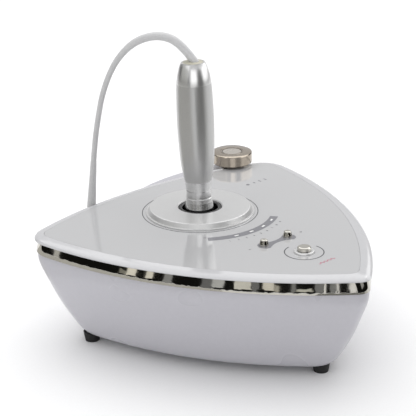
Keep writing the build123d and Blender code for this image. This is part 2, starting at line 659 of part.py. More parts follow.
def make_power_button():
    top = PANEL_Z + POWER_H
    rest = PANEL_Z + POWER_TRAVEL + STOP_GAP
    flange_top = DECK_BOTTOM - STOP_GAP
    cap = turned([(0, rest), (POWER_R, rest), (POWER_R, top - 0.8), (POWER_R - 0.5, top - 0.2),
                  (POWER_R - 1.2, top), (0, top)])
    flange_r = POWER_STEM_R + FLANGE_GROW
    stem = turned([(0, flange_top - FLANGE_T), (flange_r, flange_top - FLANGE_T), (flange_r, flange_top),
                   (POWER_STEM_R, flange_top), (POWER_STEM_R, rest), (0, rest)])
    return Pos(0, SOCKET_Y - POWER_REACH, 0) * (cap + stem)


def make_power_collar():
    bore = POWER_R + SLIDE_CLEAR
    top = PANEL_Z + COLLAR_H
    ring = turned([(bore, PANEL_Z), (COLLAR_R, PANEL_Z), (COLLAR_R, top - 0.9),
                   (COLLAR_R - 0.35, top - 0.3), (COLLAR_R - 1.0, top), (bore, top)])
    return Pos(0, SOCKET_Y - POWER_REACH, 0) * ring


def make_switch(x, y, travel):
    """A low tact switch on the display board, just clear of a fully pressed button."""
    low = DISPLAY_Z + BOARD_T
    plunger = DECK_BOTTOM - STOP_GAP - FLANGE_T - travel - SWITCH_GAP
    return block(x, y, low, SWITCH_SIZE, plunger - low - 0.5) + post(x, y, PLUNGER_R, low, plunger)


# ---------------------------------------------------------------- cord
# Distance from the socket axis along the cord's heading, and height above the floor.
CORD_ROUTE = [(86.7, 120.0), (84.6, 137.4), (81.1, 155.4), (77.3, 172.4), (70.8, 189.6), (61.8, 204.9),
              (47.4, 218.1), (28.4, 223.6), (11.7, 217.8), (1.2, 203.4)]
cord_plane = Plane(origin=(0, SOCKET_Y, 0), x_dir=HEADING, z_dir=Vector(HEADING.Y, -HEADING.X, 0))


def corner_radii(points):
    """As large an arc at each point of the route as its two runs allow."""
    points = [Vector(*p) for p in points]
    radii = []
    for before, here, after in zip(points, points[1:], points[2:]):
        run = min((here - before).length, (after - here).length)
        half_turn = math.radians((here - before).get_angle(after - here)) / 2
        radii.append(0.45 * run / math.tan(half_turn))
    return radii


def make_cord():
    radii = corner_radii(CORD_ROUTE)
    print("cord radii", [round(r, 1) for r in radii])
    path = cord_plane * FilletPolyline(*CORD_ROUTE, radius=radii)
    start = Plane(origin=path @ 0, z_dir=path % 0)
    tube = sweep(start * Circle(CORD_D / 2), path=path)
    print("cord length", round(path.length, 1), "volume ratio",
          round(tube.volume / (path.length * math.pi * CORD_D ** 2 / 4), 4))
    return tube


def make_plug():
    upright = Pos(JACK_X, PLUG_Y, PLUG_Z - PLUG_R) * Cylinder(
        PLUG_R, BOOT_Z - PLUG_Z + PLUG_R, align=UPWARDS)
    return upright + rear_bar(JACK_X, PLUG_Z, PLUG_R - 0.1, JACK_FACE + JACK_FLANGE_T, PLUG_Y)


def make_boot():
    """The plug's tapered strain relief, from its top to the cord's first point."""
    top = cord_plane.from_local_coords(Vector(*CORD_ROUTE[0]))
    foot = Vector(JACK_X, PLUG_Y, BOOT_Z)
    axis = top - foot
    cone = Plane(origin=foot, z_dir=axis) * Cone(BOOT_BASE_R, CORD_D / 2 + 0.25, axis.length - LIFT_CLEAR,
                                                 align=UPWARDS)
    below = Pos(foot.X, foot.Y, BOOT_Z - 5) * Box(4 * PLUG_R, 4 * PLUG_R, 5, align=UPWARDS)
    return cone - below


# ---------------------------------------------------------------- boards, feet and fasteners
def make_heat_sink():
    low = MAIN_BOARD_Z + BOARD_T
    base = block(-SINK_X, MAIN_BOARD_Y, low, SINK_SIZE, SINK_BASE_T)
    for i in range(FIN_COUNT):
        x = -SINK_X + (i - (FIN_COUNT - 1) / 2) * FIN_PITCH
        base += block(x, MAIN_BOARD_Y, low + SINK_BASE_T - 0.5, (FIN_T, SINK_SIZE[1]), FIN_H)
    return base


def make_main_board():
    board = block(0, MAIN_BOARD_Y, MAIN_BOARD_Z, MAIN_BOARD, BOARD_T)
    return board - [post(x, y, SCREW_R + BOLT_CLEAR, MAIN_BOARD_Z - 1, MAIN_BOARD_Z + BOARD_T + 1)
                    for x, y in BOARD_POSTS]


def make_display_board():
    """The board under the buttons, kept clear of the skirt and of the two front pillars."""
    board = block(0, DISPLAY_Y, DISPLAY_Z, DISPLAY_BOARD, BOARD_T)
    board &= slab(SKIRT_INSET + SKIRT_T + DISPLAY_CLEAR, DISPLAY_Z - 1, DISPLAY_Z + BOARD_T + 1)
    front_pillars = PILLAR_PLACES[:2]
    return board - [post(x, y, PILLAR_R + LIFT_CLEAR, DISPLAY_Z - 1, DISPLAY_Z + BOARD_T + 1)
                    for x, y in front_pillars]


def make_transformer():
    """A potted step-up transformer: a ferrite core around a round winding."""
    low = MAIN_BOARD_Z + BOARD_T
    core = block(CORE_X, MAIN_BOARD_Y, low, CORE_SIZE, CORE_H)
    return core + post(CORE_X, MAIN_BOARD_Y, WINDING_R, low + 2.0, low + CORE_H - 2.0)


def make_screws(places, head_low, tip):
    """Pan-head screws that stand head down."""
    screws = []
    for x, y in places:
        screws.append(post(x, y, SCREW_HEAD_R, head_low, head_low + SCREW_SINK)
                      + post(x, y, SCREW_R, head_low + SCREW_SINK - 0.1, tip))
    return screws


def make_board_screws():
    top = MAIN_BOARD_Z + BOARD_T
    return [post(x, y, SCREW_HEAD_R - 0.3, top, top + SCREW_SINK - 0.2)
            + post(x, y, SCREW_R, top - BOARD_SCREW_L, top + 0.5) for x, y in BOARD_POSTS]


def make_feet():
    feet = []
    for x, y in FEET:
        cone = Cone(FOOT_R, FOOT_TOP_R, BODY_Z, align=UPWARDS)
        foot = Pos(x, SOCKET_Y + y, 0) * cone
        foot -= post(x, y, SCREW_HEAD_R + BOLT_CLEAR, -1, FOOT_SCREW_Z + SCREW_SINK + 0.2)
        feet.append(foot - post(x, y, SCREW_R + BOLT_CLEAR, 0, BODY_Z + 1))
    return feet


def make_rack_screws():
    screws = []
    for x in RIB_X:
        seat = back_y(x, side_inset(RIB_SCREW_Z)) - WALL - 0.6
        screws.append(rear_bar(x, RIB_SCREW_Z, SCREW_HEAD_R, seat - 2.0, seat)
                      + rear_bar(x, RIB_SCREW_Z, SCREW_R, seat - 0.5, seat + RACK_SCREW_L))
    return screws


def make_jack():
    """The rear cord socket: a flange outside, a threaded barrel through the wall."""
    flange = rear_bar(JACK_X, PLUG_Z, JACK_FLANGE_R, JACK_FACE, JACK_FACE + JACK_FLANGE_T)
    return flange + rear_bar(JACK_X, PLUG_Z, JACK_R, JACK_FACE - JACK_L, JACK_FACE + 0.5)


def make_jack_nut():
    hexagon = Pos(JACK_X, JACK_FACE - JACK_BOSS_L, PLUG_Z) * Rot(90, 0, 0) * RegularPolygon(NUT_R, 6)
    nut = extrude(hexagon, NUT_T)
    return nut - rear_bar(JACK_X, PLUG_Z, JACK_R + THREAD_CLEAR, JACK_FACE - JACK_BOSS_L - 5, JACK_FACE)


def make_inlet():
    width, height = INLET_FLANGE
    flange = Pos(INLET_X, INLET_FACE + INLET_FLANGE_T / 2, INLET_Z) * Box(width, INLET_FLANGE_T, height)
    flange = fillet(flange.edges().filter_by(Axis.Y), 2.5)
    body_w, body_h, body_d = INLET_BODY
    body = Pos(INLET_X, INLET_FACE - body_d / 2 + 0.2, INLET_Z) * Box(body_w, body_d, body_h)
    slot_w, slot_h, slot_d = INLET_SLOT
    slot_floor = INLET_FACE + INLET_FLANGE_T - slot_d
    lobe_x = (slot_w - slot_h) / 2
    lobes = [rear_bar(INLET_X + side * lobe_x, INLET_Z, slot_h / 2, slot_floor, INLET_FACE + 3)
             for side in (-1, 1)]
    depth = slot_d + 1.2
    middle = Pos(INLET_X, slot_floor + depth / 2, INLET_Z) * Box(2 * lobe_x, depth, slot_h)
    pin_r = INLET_PIN_R + THREAD_CLEAR
    pins = [rear_bar(INLET_X + side * INLET_PIN_X, INLET_Z, pin_r, INLET_FACE - body_d, INLET_FACE)
            for side in (-1, 1)]
    return flange + body - lobes - middle - pins


def make_inlet_pins():
    tip = INLET_FACE + INLET_FLANGE_T - INLET_SLOT[2] + INLET_PIN_L
    tail = INLET_FACE - INLET_BODY[2] - 3
    return [rear_bar(INLET_X + side * INLET_PIN_X, INLET_Z, INLET_PIN_R, tail, tip) for side in (-1, 1)]


def make_led_windows():
    low = DISPLAY_Z + BOARD_T + LED_H + LED_GAP
    return [led_block(angle, 0, low, PANEL_Z + 0.05) for angle in LED_ANGLES]


def make_led_chips():
    low = DISPLAY_Z + BOARD_T
    return [led_block(angle, -0.3, low, low + LED_H) for angle in LED_ANGLES]


# ---------------------------------------------------------------- write every node
keep("lower_housing", make_lower_housing())
keep("upper_housing", make_upper_housing())
keep("chrome_band", make_chrome_band())
keep("control_panel", make_control_panel())
keep("socket_escutcheon", make_escutcheon())
keep("socket_liner", make_liner())
keep("socket_cup", make_cup())
keep("led_windows", *make_led_windows())
keep("led_chips", *make_led_chips())
keep("power_collar", make_power_collar())
keep("display_board", make_display_board())
keep("tact_switches", *[make_switch(x, -BUTTON_REACH, BUTTON_TRAVEL) for x in (-BUTTON_X, BUTTON_X)],
     make_switch(0, -POWER_REACH, POWER_TRAVEL))
keep("main_board", make_main_board())
keep("heat_sink", make_heat_sink())
keep("step_up_transformer", make_transformer())
keep("power_supply_module", block(*SUPPLY_PLACE, FLOOR_Z, SUPPLY_SIZE, SUPPLY_H))
keep("mains_inlet", make_inlet())
keep("inlet_pins", *make_inlet_pins())
keep("cord_socket", make_jack())
keep("cord_socket_nut", make_jack_nut())
keep("rubber_feet", *make_feet())
keep("foot_screws", *make_screws(FEET, FOOT_SCREW_Z, FOOT_SCREW_TIP))
keep("housing_screws", *make_screws(PILLAR_PLACES, BODY_Z, FLOOR_Z + PILLAR_SCREW_L))
keep("board_screws", *make_board_screws())
keep("rear_head_rack", make_rack())
keep("rack_screws", *make_rack_screws())
keep("cord_plug", make_plug())
keep("cord_strain_relief", make_boot())

keep("minus_button", make_button(-BUTTON_X))
keep("plus_button", make_button(BUTTON_X))
keep("power_button", make_power_button())

keep("grip_barrel", leaning(make_barrel()))
keep("tail_cap", leaning(make_tail_cap()))
keep("cord_bush", leaning(make_bush()))
keep("neck_sleeve", leaning(make_neck()))
keep("head_collar", leaning(make_collar()))
keep("collar_stud", leaning(bar(COLLAR_BORE - THREAD_CLEAR, HEAD_TOP - STUD_SINK,
                                COLLAR_SEAM + STUD_RISE)))
keep("handle_board", leaning(make_handle_board()))
keep("head_shell", leaning(make_head_shell()))
keep("head_nose", leaning(make_head_nose()))
keep("ring_electrode", leaning(bar(RING_OUT, -HEAD_DEPTH, -HEAD_DEPTH + RING_H)
                               - bar(RING_IN, -HEAD_DEPTH - 1, -HEAD_DEPTH + RING_H + 1)))
keep("centre_electrode", leaning(bar(CENTRE_R, -HEAD_DEPTH, -HEAD_DEPTH + 5)))
keep("contact_pins", *[leaning(pin) for pin in make_contact_pins()])
keep("handpiece_cord", make_cord())

keep("spare_head_shell", make_spare_shell())
keep("spare_insulator", make_spare_insulator())
keep("spare_centre_electrode", post(SPARE_X, SPARE_BACK, CORE_R, SPARE_Z + SPARE_T - CORE_SEAT + 0.8,
                                    SPARE_Z + SPARE_T - 0.1))
keep("spare_stem", post(SPARE_X, SPARE_BACK, STEM_R, SPARE_Z - STEM_L, SPARE_Z)
     - post(SPARE_X, SPARE_BACK, COLLAR_BORE, SPARE_Z - STEM_L - 1, SPARE_Z - 4.0))
keep("spare_contact_pin", post(SPARE_X, SPARE_BACK, 1.5, SPARE_Z - STEM_L + 4.0, SPARE_Z - 4.0))
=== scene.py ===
"""Looks of a desktop radio-frequency skin therapy console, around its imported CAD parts. Metres, +Z up."""
import math
import bmesh
import bpy
from mathutils import Matrix, Vector


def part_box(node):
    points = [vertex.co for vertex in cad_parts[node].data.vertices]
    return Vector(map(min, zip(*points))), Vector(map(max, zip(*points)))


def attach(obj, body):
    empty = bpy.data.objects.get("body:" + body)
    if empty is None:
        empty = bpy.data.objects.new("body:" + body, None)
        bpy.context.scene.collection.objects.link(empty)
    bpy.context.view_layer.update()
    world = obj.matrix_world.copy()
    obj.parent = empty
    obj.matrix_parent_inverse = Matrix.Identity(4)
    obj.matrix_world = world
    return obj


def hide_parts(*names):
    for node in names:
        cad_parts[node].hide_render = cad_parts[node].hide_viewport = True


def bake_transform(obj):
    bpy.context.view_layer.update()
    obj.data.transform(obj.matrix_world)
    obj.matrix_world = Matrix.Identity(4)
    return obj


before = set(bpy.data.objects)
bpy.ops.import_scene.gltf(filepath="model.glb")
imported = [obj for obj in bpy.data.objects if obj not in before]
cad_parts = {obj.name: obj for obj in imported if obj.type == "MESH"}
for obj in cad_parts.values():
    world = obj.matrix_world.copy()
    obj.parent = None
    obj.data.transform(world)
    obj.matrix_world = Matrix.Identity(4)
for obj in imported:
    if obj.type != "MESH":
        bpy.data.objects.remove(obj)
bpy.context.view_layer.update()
MM = 0.001


# ---------------------------------------------------------------- places taken from the parts
def middle(node):
    low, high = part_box(node)
    return (low + high) / 2


def top_of(node):
    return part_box(node)[1].z


SOCKET = middle("socket_escutcheon")
SOCKET.z = 0
PANEL_Z = top_of("control_panel")
POWER = middle("power_collar")
PRINT_LIFT = 0.03 * MM      # ink stands this much proud of the panel
PRINT_T = 0.05 * MM


# ---------------------------------------------------------------- camera
camera = bpy.data.objects.new("camera", bpy.data.cameras.new("camera"))
bpy.context.scene.collection.objects.link(camera)
camera.data.sensor_width = 36
camera.data.lens = 117.08
camera.data.clip_end = 50
look = Vector((0.613548, 0.704054, -0.357584))
ROLL = math.radians(-1.0833)
turn = look.to_track_quat("-Z", "Y").to_matrix().to_4x4() @ Matrix.Rotation(ROLL, 4, "Z")
camera.matrix_world = Matrix.Translation((-0.63123, -0.68992, 0.45994)) @ turn
bpy.context.scene.camera = camera


# ---------------------------------------------------------------- making pieces
def linear(hex_value):
    """An sRGB hex colour as the linear colour that the shader takes."""
    parts = [int(hex_value[i:i + 2], 16) / 255 for i in (1, 3, 5)]
    return (*(c / 12.92 if c <= 0.04045 else ((c + 0.055) / 1.055) ** 2.4 for c in parts), 1.0)


def piece(name, mesh, material, body="console", smooth=True):
    """A finished mesh as a piece that rides on a body."""
    made = bpy.data.objects.new(name, mesh)
    bpy.context.scene.collection.objects.link(made)
    mesh.materials.clear()
    mesh.materials.append(material)
    mesh.polygons.foreach_set("use_smooth", [smooth] * len(mesh.polygons))
    if body:
        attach(made, body)
    return made


def to_mesh(bm, name):
    mesh = bpy.data.meshes.new(name)
    bm.to_mesh(mesh)
    bm.free()
    return mesh


def turned(profile, steps=96):
    """A closed profile of (radius, height) in mm, turned right round the Z axis. Radius 0 makes a pole."""
    bm = bmesh.new()
    points = [bm.verts.new((r * MM, 0, z * MM)) for r, z in profile]
    edges = [bm.edges.new(pair) for pair in zip(points, points[1:] + points[:1])
             if not (pair[0].co.x < 1e-9 and pair[1].co.x < 1e-9)]
    bmesh.ops.spin(bm, geom=points + edges, cent=(0, 0, 0), axis=(0, 0, 1), angle=math.tau, steps=steps,
                   use_merge=True)
    bmesh.ops.remove_doubles(bm, verts=bm.verts, dist=1e-7)
    bmesh.ops.recalc_face_normals(bm, faces=bm.faces)
    return bm


def swept_line(foot, tip, start, end, steps):
    """A line carried round the Z axis from one angle to another, in degrees."""
    bm = bmesh.new()
    a, b = bm.verts.new(foot), bm.verts.new(tip)
    line = bm.edges.new((a, b))
    bmesh.ops.rotate(bm, verts=[a, b], cent=(0, 0, 0), matrix=Matrix.Rotation(math.radians(start), 3, "Z"))
    bmesh.ops.spin(bm, geom=[a, b, line], cent=(0, 0, 0), axis=(0, 0, 1), angle=math.radians(end - start),
                   steps=steps, use_merge=end - start >= 360)
    return bm


def swept_bar(inner, outer, start, end, centre, low, height, steps=48):
    """A flat bar of ink bent about a centre: two radii in mm and two angles in degrees from the nose."""
    bm = swept_line((0, -inner * MM, 0), (0, -outer * MM, 0), start, end, steps)
    thicken(bm, height)
    bmesh.ops.translate(bm, verts=bm.verts, vec=(centre.x, centre.y, low))
    return bm


def thicken(bm, height):
    """Give flat faces at Z = 0 a thickness upwards."""
    made = bmesh.ops.extrude_face_region(bm, geom=bm.faces[:])
    top = [v for v in made["geom"] if isinstance(v, bmesh.types.BMVert)]
    bmesh.ops.translate(bm, verts=top, vec=(0, 0, height))
    bmesh.ops.recalc_face_normals(bm, faces=bm.faces)


def glyph(text, size, place, turn_deg, height=PRINT_T):
    """A printed sign as a thin mesh, centred at a place on the panel."""
    curve = bpy.data.curves.new("glyph", "FONT")
    curve.body = text
    curve.size = size * MM
    curve.align_x, curve.align_y = "CENTER", "CENTER"
    curve.extrude = height / 2
    maker = bpy.data.objects.new("glyph", curve)
    mesh = bpy.data.meshes.new_from_object(maker)
    bpy.data.objects.remove(maker)
    mesh.transform(Matrix.Translation((place[0], place[1], PANEL_Z + PRINT_LIFT + height / 2))
                   @ Matrix.Rotation(math.radians(turn_deg), 4, "Z"))
    return mesh


def on_panel(x, y):
    """A place on the panel from the socket axis, in mm."""
    return SOCKET.x + x * MM, SOCKET.y + y * MM


# ---------------------------------------------------------------- materials
def node(mat, kind, inputs=None, **settings):
    made = mat.node_tree.nodes.new(kind)
    for key, value in settings.items():
        setattr(made, key, value)
    for socket, value in (inputs or {}).items():
        if isinstance(value, bpy.types.NodeSocket):
            mat.node_tree.links.new(value, made.inputs[socket])
        else:
            made.inputs[socket].default_value = value
    return made


# Stretch of the grain for lines that run round a turned piece.
TURNED = (0.01, 0.01, 1)
# How sharp an edge is, from 0.5 for flat, where wear begins and where it is complete.
WORN_FROM, WORN_FULL = 0.58, 0.7


def finish(name, base, fleck, grain, relief, rough, wear=None, stretch=(1, 1, 1), patch=35.0, **shader):
    """A material from its real sizes: grain, patch and relief in mm, and a range of roughness."""
    mat = bpy.data.materials.new(name)
    mat.use_nodes = True
    mat.node_tree.nodes.clear()
    place = node(mat, "ShaderNodeTexCoord").outputs["Object"]
    drawn = node(mat, "ShaderNodeMapping", {"Vector": place, "Scale": stretch}).outputs["Vector"]
    fine = node(mat, "ShaderNodeTexNoise", {"Vector": drawn, "Scale": 1000 / grain, "Detail": 2.0}).outputs[0]
    wide = node(mat, "ShaderNodeTexNoise", {"Vector": place, "Scale": 1000 / patch, "Detail": 1.0}).outputs[0]
    share = node(mat, "ShaderNodeMapRange", {"Value": fine, "From Min": 0.3, "From Max": 0.7}).outputs[0]
    # The Mix node's colour sockets share names with its other kinds, so they are set by place.
    tint = node(mat, "ShaderNodeMix", {"Factor": share, 6: linear(base), 7: linear(fleck)}, data_type="RGBA")
    colour = tint.outputs[2]
    if wear:
        edge = node(mat, "ShaderNodeNewGeometry").outputs["Pointiness"]
        rubbed = node(mat, "ShaderNodeMapRange",
                      {"Value": edge, "From Min": WORN_FROM, "From Max": WORN_FULL}).outputs[0]
        broken = node(mat, "ShaderNodeMath", {0: rubbed, 1: wide}, operation="MULTIPLY").outputs[0]
        colour = node(mat, "ShaderNodeMix", {"Factor": broken, 6: colour, 7: linear(wear)},
                      data_type="RGBA").outputs[2]
    dull = node(mat, "ShaderNodeMapRange",
                {"Value": wide, "From Min": 0.2, "From Max": 0.8, "To Min": rough[0], "To Max": rough[1]},
                interpolation_type="SMOOTHSTEP").outputs[0]
    bump = node(mat, "ShaderNodeBump", {"Strength": 1.0, "Distance": relief * MM, "Height": fine}).outputs[0]
    bsdf = node(mat, "ShaderNodeBsdfPrincipled",
                {"Base Color": colour, "Roughness": dull, "Normal": bump, **shader})
    node(mat, "ShaderNodeOutputMaterial", {"Surface": bsdf.outputs[0]})
    return mat


# Injection-moulded ABS with a clear lacquer: even, with a very faint orange peel; its cool white is painted
# darker, to a lavender grey, as painted shade on the tray's sides.
WHITE_ABS_PAINTED_SHADE = finish("moulded ABS, lacquered, darkened as painted shade", "#BDBCC2", "#BBBAC0", 3.0, 0.0004, (0.27, 0.29), wear="#CFCFD4",
                   IOR=1.53, **{"Coat Weight": 0.2, "Coat Roughness": 0.3})
# The top shell, the same white ABS, glossier than the tray and painted a little brighter as painted light on
# its upward border.
BORDER_ABS_PAINTED_LIGHT = finish("moulded ABS, polished, lightened as painted light", "#C1C1C3", "#BFBFC1", 3.0, 0.0004, (0.14, 0.18), wear="#DADADC",
                    IOR=1.53, **{"Coat Weight": 0.5, "Coat Roughness": 0.05})
# Back-painted acrylic sheet: the paint is a pale silver grey under a clear glossy face.
PANEL_ACRYLIC = finish("acrylic sheet, back painted", "#BABABB", "#B8B8B9", 0.6, 0.0001, (0.05, 0.08),
                       IOR=1.49, **{"Coat Weight": 0.6, "Coat Roughness": 0.03})
# Decorative chrome on ABS: a bright mirror with slight waves from the moulding under it.
CHROME = finish("chrome plate on ABS", "#CFCCC4", "#C6C3BB", 6.0, 0.004, (0.03, 0.06), wear="#E6E4DE",
                Metallic=1.0)
# Bead-blasted and clear-anodised aluminium: satin, its grit of about 0.2 mm drawn at 0.4 mm so that it shows.
SATIN_ALUMINIUM = finish("anodised aluminium, bead blasted", "#C6C6C5", "#BCBCBC", 0.4, 0.003, (0.28, 0.32),
                         wear="#DADADA", Metallic=1.0)
# Turned and polished aluminium: fine lines run round the axis, 0.3 mm apart.
TURNED_ALUMINIUM = finish("anodised aluminium, turned", "#D8D8D8", "#D2D2D2", 0.3, 0.0002, (0.24, 0.27),
                          wear="#E2E2E2", stretch=TURNED, patch=60.0, Metallic=1.0)
POLISHED_ALUMINIUM = finish("anodised aluminium, polished", "#DADAD9", "#D4D4D4", 0.3, 0.0004, (0.27, 0.3),
                            wear="#E8E8E8", stretch=TURNED, patch=60.0, Metallic=1.0)
# Silver paint on a moulded disc: flakes drawn at 0.5 mm and a dull satin face.
SILVER_PAINT = finish("silver paint on ABS", "#CDCDCC", "#C5C5C5", 0.5, 0.001, (0.3, 0.34), wear="#E4E4E4",
                      Metallic=0.35, **{"Coat Weight": 0.2, "Coat Roughness": 0.2})
# Nickel-plated brass: a warm grey mirror, the sides polished and the face lapped; the polished nickel's
# colour is painted darker than the lapped face, as painted dark reflection.
NICKEL_PAINTED_DARK = finish("nickel plate, polished, darkened as painted reflection", "#B4AA9D", "#AAA093", 1.2, 0.0006, (0.1, 0.14), wear="#DCD4C8",
                Metallic=1.0)
NICKEL_LAPPED = finish("nickel plate, lapped", "#D2CCC4", "#CAC3BA", 0.3, 0.001, (0.26, 0.3), Metallic=1.0)
BLACK_GLOSS = finish("acetal, gloss black", "#0C0C0D", "#111112", 1.5, 0.0006, (0.08, 0.13), IOR=1.48)
BLACK_RUBBER = finish("rubber, moulded", "#131313", "#1D1D1D", 0.5, 0.02, (0.62, 0.75), IOR=1.52)
BLACK_ABS = finish("ABS, spark-eroded black", "#191919", "#222223", 0.4, 0.015, (0.45, 0.55), IOR=1.53)
CREAM_PVC = finish("soft PVC, cream", "#BDBAA8", "#B5B19F", 1.0, 0.01, (0.4, 0.5), IOR=1.53,
                   **{"Subsurface Weight": 0.05, "Subsurface Radius": (0.004, 0.003, 0.002)})
GREY_PVC = finish("soft PVC, grey", "#CACACA", "#C3C3C4", 1.2, 0.004, (0.34, 0.42), IOR=1.53)
CLEAR_WINDOW = finish("polycarbonate, diffusing", "#F4F4F2", "#ECECEA", 0.5, 0.001, (0.15, 0.2), IOR=1.58)
FIBREGLASS = finish("solder mask on glass laminate", "#1C5A34", "#174B2C", 0.8, 0.004, (0.3, 0.42), IOR=1.5)
ZINC_STEEL = finish("zinc-plated steel", "#B4B6B8", "#A2A4A8", 0.6, 0.003, (0.25, 0.38), wear="#D0D0D0",
                    Metallic=1.0)
BRASS = finish("brass, drawn", "#C9A45C", "#B9924B", 0.5, 0.002, (0.25, 0.35), Metallic=1.0)
WHITE_PTFE = finish("PTFE, turned", "#ECECEA", "#E2E2DF", 0.3, 0.002, (0.4, 0.5), stretch=TURNED, IOR=1.35)
DARK_ALUMINIUM = finish("extruded aluminium, black anodised", "#2A2B2D", "#222325", 0.4, 0.002, (0.35, 0.45),
                        stretch=(1, 0.03, 1), Metallic=1.0)
POTTING = finish("epoxy potting", "#1D1F24", "#26282E", 1.6, 0.01, (0.2, 0.35), IOR=1.55)
GREY_INK = finish("screen ink, mid grey", "#7F7F84", "#79797E", 0.4, 0.0004, (0.2, 0.25), IOR=1.5)
DARK_INK = finish("screen ink, dark grey", "#565759", "#4E4F52", 0.4, 0.0004, (0.2, 0.25), IOR=1.5)
RED_INK = finish("screen ink, red", "#C05070", "#B84866", 0.4, 0.0004, (0.3, 0.36), IOR=1.5)

NODE_FINISH = {
    "lower_housing": WHITE_ABS_PAINTED_SHADE, "upper_housing": BORDER_ABS_PAINTED_LIGHT, "rear_head_rack": WHITE_ABS_PAINTED_SHADE,
    "control_panel": PANEL_ACRYLIC, "chrome_band": CHROME, "socket_escutcheon": SILVER_PAINT,
    "socket_liner": BLACK_GLOSS, "socket_cup": BLACK_ABS, "led_windows": CLEAR_WINDOW,
    "led_chips": CLEAR_WINDOW,
    "power_collar": SILVER_PAINT, "power_button": CHROME, "minus_button": CHROME, "plus_button": CHROME,
    "display_board": FIBREGLASS, "main_board": FIBREGLASS, "handle_board": FIBREGLASS,
    "tact_switches": BLACK_ABS, "heat_sink": DARK_ALUMINIUM, "step_up_transformer": POTTING,
    "power_supply_module": POTTING, "mains_inlet": BLACK_ABS, "inlet_pins": BRASS, "cord_socket": ZINC_STEEL,
    "cord_socket_nut": BRASS, "rubber_feet": BLACK_RUBBER, "foot_screws": ZINC_STEEL,
    "housing_screws": ZINC_STEEL, "board_screws": ZINC_STEEL, "rack_screws": ZINC_STEEL,
    "cord_plug": GREY_PVC, "cord_strain_relief": GREY_PVC,
    "grip_barrel": SATIN_ALUMINIUM, "tail_cap": POLISHED_ALUMINIUM, "cord_bush": CREAM_PVC,
    "neck_sleeve": TURNED_ALUMINIUM, "head_collar": TURNED_ALUMINIUM, "collar_stud": BRASS,
    "head_shell": NICKEL_PAINTED_DARK, "head_nose": WHITE_PTFE, "ring_electrode": NICKEL_PAINTED_DARK, "centre_electrode": NICKEL_PAINTED_DARK,
    "contact_pins": BRASS, "handpiece_cord": GREY_PVC, "spare_head_shell": NICKEL_PAINTED_DARK,
    "spare_insulator": BLACK_GLOSS, "spare_centre_electrode": NICKEL_LAPPED, "spare_stem": NICKEL_PAINTED_DARK,
    "spare_contact_pin": BRASS,
}
for name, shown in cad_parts.items():
    if not shown.material_slots:
        shown.data.materials.append(NODE_FINISH[name])
    for held in shown.material_slots:
        held.material = NODE_FINISH[name]


# ---------------------------------------------------------------- cord
# The route of the cord's tube: mm out from the socket axis along the heading, and mm above the floor.
CORD_ROUTE = ((86.7, 120.0), (84.6, 137.4), (81.1, 155.4), (77.3, 172.4), (70.8, 189.6), (61.8, 204.9),
              (47.4, 218.1), (28.4, 223.6), (11.7, 217.8), (1.2, 203.4))
# The moulded cord thickens towards the handpiece.
CORD_GIRTH = (0.87, 0.86, 0.86, 0.86, 0.88, 0.95, 1.16, 1.27, 1.28, 1.28)
CORD_D = 5.0
CORD_HEADING = Vector((-0.503, 0.864)).normalized()


def cord_curve(thick):
    curve = bpy.data.curves.new("cord_line", "CURVE")
    curve.dimensions = "3D"
    line = curve.splines.new("NURBS")
    line.points.add(len(CORD_ROUTE) - 1)
    for point, (out, up), girth in zip(line.points, CORD_ROUTE, CORD_GIRTH):
        point.co = (SOCKET.x + CORD_HEADING.x * out * MM, SOCKET.y + CORD_HEADING.y * out * MM, up * MM, 1)
        point.radius = girth
    line.order_u = 3
    line.use_endpoint_u = True
    line.resolution_u = 16
    if thick:
        curve.bevel_depth = CORD_D / 2 * MM
        curve.bevel_resolution = 10
        curve.use_fill_caps = True
    maker = bpy.data.objects.new("cord_line", curve)
    mesh = bpy.data.meshes.new_from_object(maker)
    bpy.data.objects.remove(maker)
    return mesh


cord_line = [v.co.copy() for v in cord_curve(False).vertices]
cord = piece("handpiece_cord_sleeve", cord_curve(True), GREY_PVC, body=None)
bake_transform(cord)
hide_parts("handpiece_cord")

# ---------------------------------------------------------------- print on the panel
INK_LOW = PANEL_Z + PRINT_LIFT


def ink(name, bm_or_mesh, material):
    mesh = to_mesh(bm_or_mesh, name) if isinstance(bm_or_mesh, bmesh.types.BMesh) else bm_or_mesh
    return piece(name, mesh, material, smooth=False)


def joined(name, meshes, material):
    """Several small prints as one piece."""
    bm = bmesh.new()
    for mesh in meshes:
        bm.from_mesh(mesh)
    return ink(name, bm, material)


def arc_mesh(*where, **size):
    return to_mesh(swept_bar(*where, **size), "arc")


SCALE_IN, SCALE_OUT = 54.6, 60.7
SCALE_FROM, SCALE_TO = -35.5, 35.0          # degrees from the nose
WINDOW_IN, WINDOW_OUT = 56.7, 58.5          # the row of the scale that the light windows stand in
WINDOW_ANGLES = (-13.5, 0.0, 13.5, 27.5)
WINDOW_HALF = math.degrees(1.85 / 57.6)
OUTLINE_IN, OUTLINE_OUT = 43.95, 44.6
ink("disc_outline", swept_bar(OUTLINE_IN, OUTLINE_OUT, 0, 360, SOCKET, INK_LOW, PRINT_T, 160), DARK_INK)
strips = [arc_mesh(SCALE_IN, WINDOW_IN, SCALE_FROM, SCALE_TO, SOCKET, INK_LOW, PRINT_T),
          arc_mesh(WINDOW_OUT, SCALE_OUT, SCALE_FROM, SCALE_TO, SOCKET, INK_LOW, PRINT_T)]
edges = [SCALE_FROM] + [a + side * WINDOW_HALF for a in WINDOW_ANGLES for side in (-1, 1)] + [SCALE_TO]
for start, end in zip(edges[::2], edges[1::2]):
    strips.append(arc_mesh(WINDOW_IN, WINDOW_OUT, start, end, SOCKET, INK_LOW, PRINT_T))
strips.append(arc_mesh(54.4, 55.3, -38.6, -36.4, SOCKET, INK_LOW, PRINT_T))
joined("level_scale", strips, GREY_INK)

